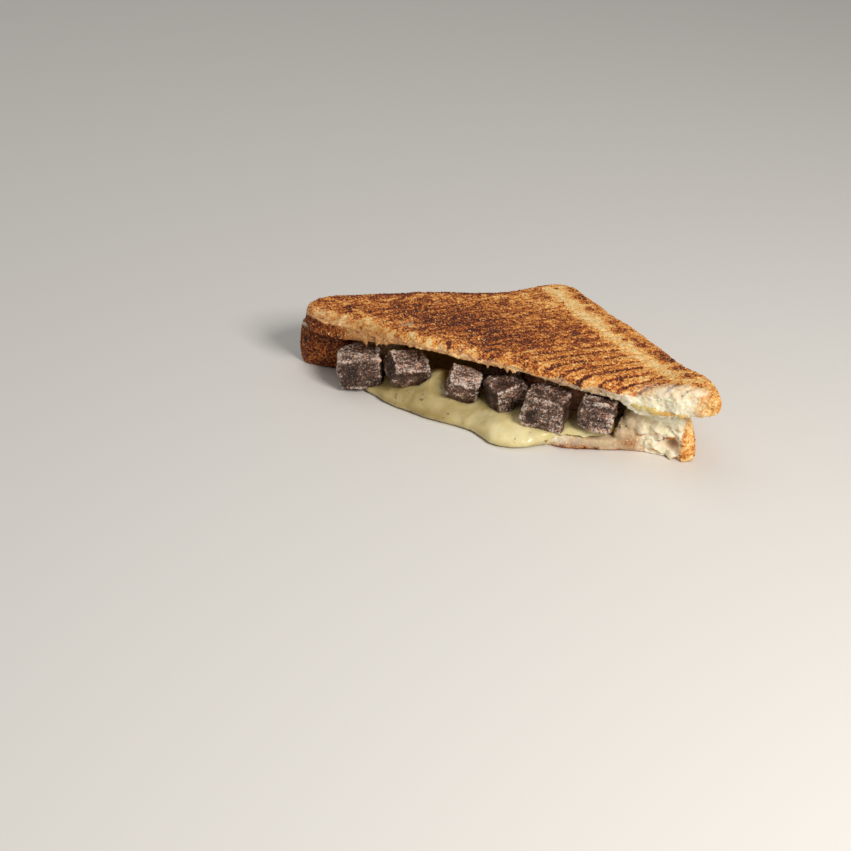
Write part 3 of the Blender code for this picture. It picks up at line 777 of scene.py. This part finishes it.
# ==== Cheese squeezed out of the right end's seam ===================================
# The same cheese, fried to a thin olive and orange film where the slices pinch together,
# with one thick white drop below it: overlapping lumps melted into one skin.  Each has a
# place along the cut and up and a size, all in mm.
FILM_LUMPS = (((48.2, 21.9), 0.8), ((50.0, 21.5), 1.2), ((52.3, 21.8), 1.3), ((54.8, 22.0), 1.1),
              ((56.6, 21.6), 0.9), ((55.6, 20.6), 1.0), ((58.0, 21.2), 1.1), ((60.4, 21.8), 1.1),
              ((62.6, 22.3), 1.0), ((64.8, 22.5), 0.9), ((66.6, 22.4), 0.7))
DROP_LUMPS = (((55.6, 15.3), 1.0), ((57.5, 15.4), 1.5), ((60.0, 15.9), 1.8), ((62.8, 16.2), 1.6))
SEAM_GRAIN = 0.0003                 # side of its mesh faces, in metres
LOOK_FROM, LOOK_TO = -40.0, 7.0     # mm behind the cut, where the bread's front is looked for


def make_seam_material():
    """White, olive and orange by how far the cheese is fried."""
    material = bpy.data.materials.new("fried_cheese")
    material.use_nodes = True
    tree = material.node_tree
    shader = tree.nodes["Principled BSDF"]
    tone = colour_band(tree, stored_share(tree, "frying"),
                       ((0.0, (0.95, 0.87, 0.66)), (0.35, (0.86, 0.74, 0.42)),
                        (0.62, (0.66, 0.50, 0.17)), (1.0, (0.82, 0.45, 0.12))))
    tree.links.new(tone, shader.inputs["Base Color"])
    for name, value in (("Roughness", 0.30), ("Subsurface Weight", 0.25),
                        ("Subsurface Radius", (1.0, 0.7, 0.3)), ("Subsurface Scale", 0.0015)):
        shader.inputs[name].default_value = value
    return material


evaluated = bpy.context.evaluated_depsgraph_get()
bread_fronts = [BVHTree.FromObject(slice_piece, evaluated) for slice_piece in (upper, lower)]
skin = bmesh.new()
for (along, up), size in FILM_LUMPS + DROP_LUMPS:
    start = Vector((along, LOOK_FROM, up)) / 1000 + CUT_MIDDLE
    hits = [front.ray_cast(start, Vector((0, 1, 0)))[0] for front in bread_fronts]
    front = min([(hit - CUT_MIDDLE).y * 1000 for hit in hits if hit] + [LOOK_TO])
    middle = Vector((along, front + 0.25 * size, up)) / 1000 + CUT_MIDDLE
    lump = bmesh.ops.create_icosphere(skin, subdivisions=3, radius=size / 1000)["verts"]
    for vert in lump:
        vert.co = Vector((vert.co.x * 1.7, vert.co.y * 0.8, vert.co.z * 0.95)) + middle
seam_mesh = bpy.data.meshes.new("seam_cheese")
skin.to_mesh(seam_mesh)
skin.free()
seam_cheese = bpy.data.objects.new("seam_cheese", seam_mesh)
bpy.context.scene.collection.objects.link(seam_cheese)
refine(seam_cheese, SEAM_GRAIN, smoothing=6)
places, normals = read_points(seam_cheese.data)
uneven = mottle(places, 2.2, 51, 2)
move_to(seam_cheese.data, places + normals * (0.35 * uneven)[:, None])
frying = 0.50 + 0.40 * ramp(54.0, 59.0, places[:, 0] + 1.5 * (21.5 - places[:, 2])) + 0.45 * uneven
frying *= ramp(17.4, 18.6, places[:, 2] + 0.5 * uneven)
store(seam_cheese.data, "frying", np.clip(frying, 0.0, 1.0))
seam_cheese.data.materials.append(make_seam_material())
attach(seam_cheese, "root")

# ==== Loose crumbs ==================================================================
# Grains of toast, broken crust and white crumb that cling to the bread, the cheese and
# the beef: small angular bits, under a millimetre across, scattered over each surface.
CRUMB_SIZE = 0.00030                 # half the width of a middling grain, in metres


def scatter_tree():
    """Geometry Nodes that leave grains on a surface, by its stored share, and no surface."""
    tree = bpy.data.node_groups.new("scattered_crumbs", "GeometryNodeTree")
    for name, kind in (("Geometry", "Geometry"), ("Density", "Float"), ("Size", "Float"),
                       ("Seed", "Int"), ("Material", "Material")):
        tree.interface.new_socket(name, in_out="INPUT", socket_type="NodeSocket" + kind)
    tree.interface.new_socket("Geometry", in_out="OUTPUT", socket_type="NodeSocketGeometry")
    nodes, links = tree.nodes, tree.links
    given = nodes.new("NodeGroupInput")
    result = nodes.new("NodeGroupOutput")
    reader = nodes.new("GeometryNodeInputNamedAttribute")
    reader.data_type = "FLOAT"
    reader.inputs["Name"].default_value = "crumbs"
    amount = nodes.new("ShaderNodeMath")
    amount.operation = "MULTIPLY"
    links.new(reader.outputs["Attribute"], amount.inputs[0])
    links.new(given.outputs["Density"], amount.inputs[1])
    points = nodes.new("GeometryNodeDistributePointsOnFaces")
    links.new(given.outputs["Geometry"], points.inputs["Mesh"])
    links.new(amount.outputs[0], points.inputs["Density"])
    links.new(given.outputs["Seed"], points.inputs["Seed"])
    grain = nodes.new("GeometryNodeMeshIcoSphere")
    grain.inputs["Subdivisions"].default_value = 1
    links.new(given.outputs["Size"], grain.inputs["Radius"])
    stretch = nodes.new("FunctionNodeRandomValue")
    stretch.data_type = "FLOAT_VECTOR"
    stretch.inputs["Min"].default_value = (0.5, 0.4, 0.3)
    stretch.inputs["Max"].default_value = (1.8, 1.3, 0.9)
    turn = nodes.new("FunctionNodeRandomValue")
    turn.data_type = "FLOAT_VECTOR"
    turn.inputs["Min"].default_value = (0.0, 0.0, 0.0)
    turn.inputs["Max"].default_value = (math.tau, math.tau, math.tau)
    for chance, seed in ((stretch, 5), (turn, 9)):
        chance.inputs["Seed"].default_value = seed
    grains = nodes.new("GeometryNodeInstanceOnPoints")
    links.new(points.outputs["Points"], grains.inputs["Points"])
    links.new(grain.outputs["Mesh"], grains.inputs["Instance"])
    links.new(stretch.outputs["Value"], grains.inputs["Scale"])
    links.new(turn.outputs["Value"], grains.inputs["Rotation"])
    realize = nodes.new("GeometryNodeRealizeInstances")
    links.new(grains.outputs[0], realize.inputs[0])
    material = nodes.new("GeometryNodeSetMaterial")
    links.new(realize.outputs[0], material.inputs["Geometry"])
    links.new(given.outputs["Material"], material.inputs["Material"])
    links.new(material.outputs[0], result.inputs[0])
    return tree


def make_crumb_material(name, dark, pale):
    """Grains between two colours, a patch of grains at a time."""
    material = plain_material(name, (*pale, 1.0), 0.6)
    tree = material.node_tree
    place = tree.nodes.new("ShaderNodeTexCoord").outputs["Object"]
    band = colour_band(tree, noise_node(tree, place, 900.0, 2.0), ((0.35, dark), (0.65, pale)))
    tree.links.new(band, tree.nodes["Principled BSDF"].inputs["Base Color"])
    return material


def share_of(piece, name):
    """What a piece's mesh stores under a name, one value for each vertex."""
    values = np.empty(len(piece.data.vertices), dtype=np.float32)
    piece.data.attributes[name].data.foreach_get("value", values)
    return values


def scatter(name, grounds, density, size, seed, material):
    """One piece of grains over several pieces, each given with its vertices' shares."""
    shell = bmesh.new()
    layer = shell.verts.layers.float.new("crumbs")
    for ground, share in grounds:
        first = len(shell.verts)
        shell.from_mesh(ground.data)
        shell.verts.ensure_lookup_table()
        for offset, value in enumerate(share):
            shell.verts[first + offset][layer] = value
    data = bpy.data.meshes.new(name)
    shell.to_mesh(data)
    shell.free()
    grains = bpy.data.objects.new(name, data)
    bpy.context.scene.collection.objects.link(grains)
    spread = grains.modifiers.new("scatter", "NODES")
    spread.node_group = crumb_scatter
    set_input(spread, "Density", density)
    set_input(spread, "Size", size)
    set_input(spread, "Seed", seed)
    set_input(spread, "Material", material)
    apply_modifiers(grains)
    grains.data.shade_flat()
    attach(grains, "root")


crumb_scatter = scatter_tree()
pale_shares, golden_shares, dark_shares = [], [], []
for piece in (upper, lower):
    seen = ramp(0.6, 2.0, read_points(piece.data)[0][:, 2])
    torn, toasting = share_of(piece, "crumb"), share_of(piece, "toasting")
    pale_shares.append((piece, seen * torn * (1.0 - share_of(piece, "soak_and_shade"))))
    golden_shares.append((piece, seen * ramp(0.2, 0.5, toasting) * (1.0 - torn)))
    dark_shares.append((piece, seen * ramp(0.35, 0.75, toasting) * (1.0 - torn)))
dark_shares.append((cheese, 0.22 * ramp(0.2, 0.9, share_of(cheese, "stain_and_shade"))))
white_grains = make_crumb_material("white_crumb", (0.86, 0.62, 0.32), (0.97, 0.88, 0.68))
burnt_grains = make_crumb_material("burnt_crust", (0.06, 0.020, 0.010), (0.30, 0.095, 0.030))
fat_grains = make_crumb_material("beef_fat", (0.42, 0.28, 0.20), (0.78, 0.68, 0.58))
beef_shares = [(cube, ramp(-0.1, 0.5, share_of(cube, "fibre_and_light"))) for cube in beef_cubes]
golden_grains = make_crumb_material("golden_crust", (0.80, 0.44, 0.13), (0.95, 0.70, 0.34))
scatter("golden_crumbs", golden_shares, 110000.0, 0.85 * CRUMB_SIZE, 5, golden_grains)
scatter("pale_crumbs", pale_shares, 130000.0, CRUMB_SIZE, 3, white_grains)
scatter("burnt_crumbs", dark_shares, 150000.0, CRUMB_SIZE, 4, burnt_grains)
scatter("beef_grains", beef_shares, 300000.0, 0.8 * CRUMB_SIZE, 6, fat_grains)
